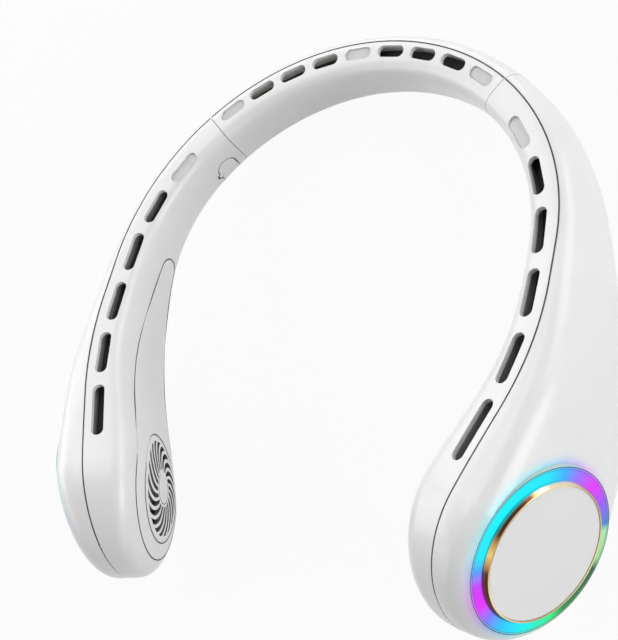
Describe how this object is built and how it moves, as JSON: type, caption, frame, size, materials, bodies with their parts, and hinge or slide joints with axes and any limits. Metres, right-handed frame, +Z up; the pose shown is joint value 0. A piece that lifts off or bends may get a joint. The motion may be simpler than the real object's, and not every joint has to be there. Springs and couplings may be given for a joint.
{
  "type": "electric neck fan",
  "caption": "Wearable neck fan: white hinged collar with an air-slotted rim, ending in round fan pods with swirl intake grilles, coloured light rings and gold-trimmed caps.",
  "frame": {"origin": "centre of the footprint, on the surface that the fan lies on", "axes": "+Z up, air slots facing up; +Y towards the nape; +X towards the arm with the power button"},
  "size_m": [0.2028, 0.2048, 0.0639],
  "materials": {
    "shell": "satin white",
    "cap": "satin pale grey",
    "light": "lit diffuser",
    "trim": "polished gold",
    "board": "circuit board",
    "fan": "moulded",
    "steel": "plain",
    "bronze": "sintered",
    "copper": "wound wire",
    "magnet": "ferrite",
    "cell": "wrapped"
  },
  "bodies": {
    "nape": {"nape_frame": "shell", "nape_cover": "shell", "left_hinge_pin": "steel", "left_nape_bracket": "steel", "right_hinge_pin": "steel", "right_nape_bracket": "steel"},
    "right_arm": {"right_arm_frame": "shell", "right_outer_cover": "shell", "right_inner_cover": "shell", "right_intake_grille": "shell", "right_end_cap": "cap", "right_light_ring": "light", "right_trim_ring": "trim", "right_light_board": "board", "right_fan_housing": "fan", "right_plate_screws": "steel", "right_motor_stator": "steel", "right_arm_bracket": "steel", "right_motor_bearing": "bronze", "right_motor_coils": "copper", "right_battery": "cell", "control_board": "board"},
    "left_arm": {"left_arm_frame": "shell", "left_outer_cover": "shell", "left_inner_cover": "shell", "left_intake_grille": "shell", "left_end_cap": "cap", "left_light_ring": "light", "left_trim_ring": "trim", "left_light_board": "board", "left_fan_housing": "fan", "left_plate_screws": "steel", "left_motor_stator": "steel", "left_arm_bracket": "steel", "left_motor_bearing": "bronze", "left_motor_coils": "copper", "left_battery": "cell", "charge_board": "board", "charge_socket": "steel", "flap_pin": "steel"},
    "right_rotor": {"right_impeller": "fan", "right_motor_magnet": "magnet", "right_motor_shaft": "steel"},
    "left_rotor": {"left_impeller": "fan", "left_motor_magnet": "magnet", "left_motor_shaft": "steel"},
    "charge_flap": {"charge_flap": "shell"},
    "power_button": {"power_button": "shell"}
  },
  "joints": [
    {"name": "right_arm_hinge", "type": "hinge", "parent": "nape", "child": "right_arm", "pos_m": [0.06165, 0.07301, 0.01721], "axis": [-0.1693, 0.0368, 0.9849], "range_deg": [0, 10]},
    {"name": "left_arm_hinge", "type": "hinge", "parent": "nape", "child": "left_arm", "pos_m": [-0.06165, 0.07301, 0.01721], "axis": [-0.1693, -0.0368, -0.9849], "range_deg": [0, 10]},
    {"name": "right_fan_spin", "type": "hinge", "parent": "right_arm", "child": "right_rotor", "pos_m": [0.07113, -0.06989, 0.031], "axis": [0.9088, -0.2808, 0.3085], "continuous": true},
    {"name": "left_fan_spin", "type": "hinge", "parent": "left_arm", "child": "left_rotor", "pos_m": [-0.07113, -0.06989, 0.031], "axis": [-0.9088, -0.2808, 0.3085], "continuous": true},
    {"name": "charge_flap_hinge", "type": "hinge", "parent": "left_arm", "child": "charge_flap", "pos_m": [-0.0619, 0.0594, 0.00933], "axis": [0.6382, 0.7524, -0.1632], "range_deg": [0, 90]},
    {"name": "power_button_press", "type": "slide", "parent": "right_arm", "child": "power_button", "axis": [0.747, 0.6565, 0.1051], "range_m": [0, 0.0008], "stiffness_N_per_m": 1000, "springref_m": -0.0005}
  ]
}
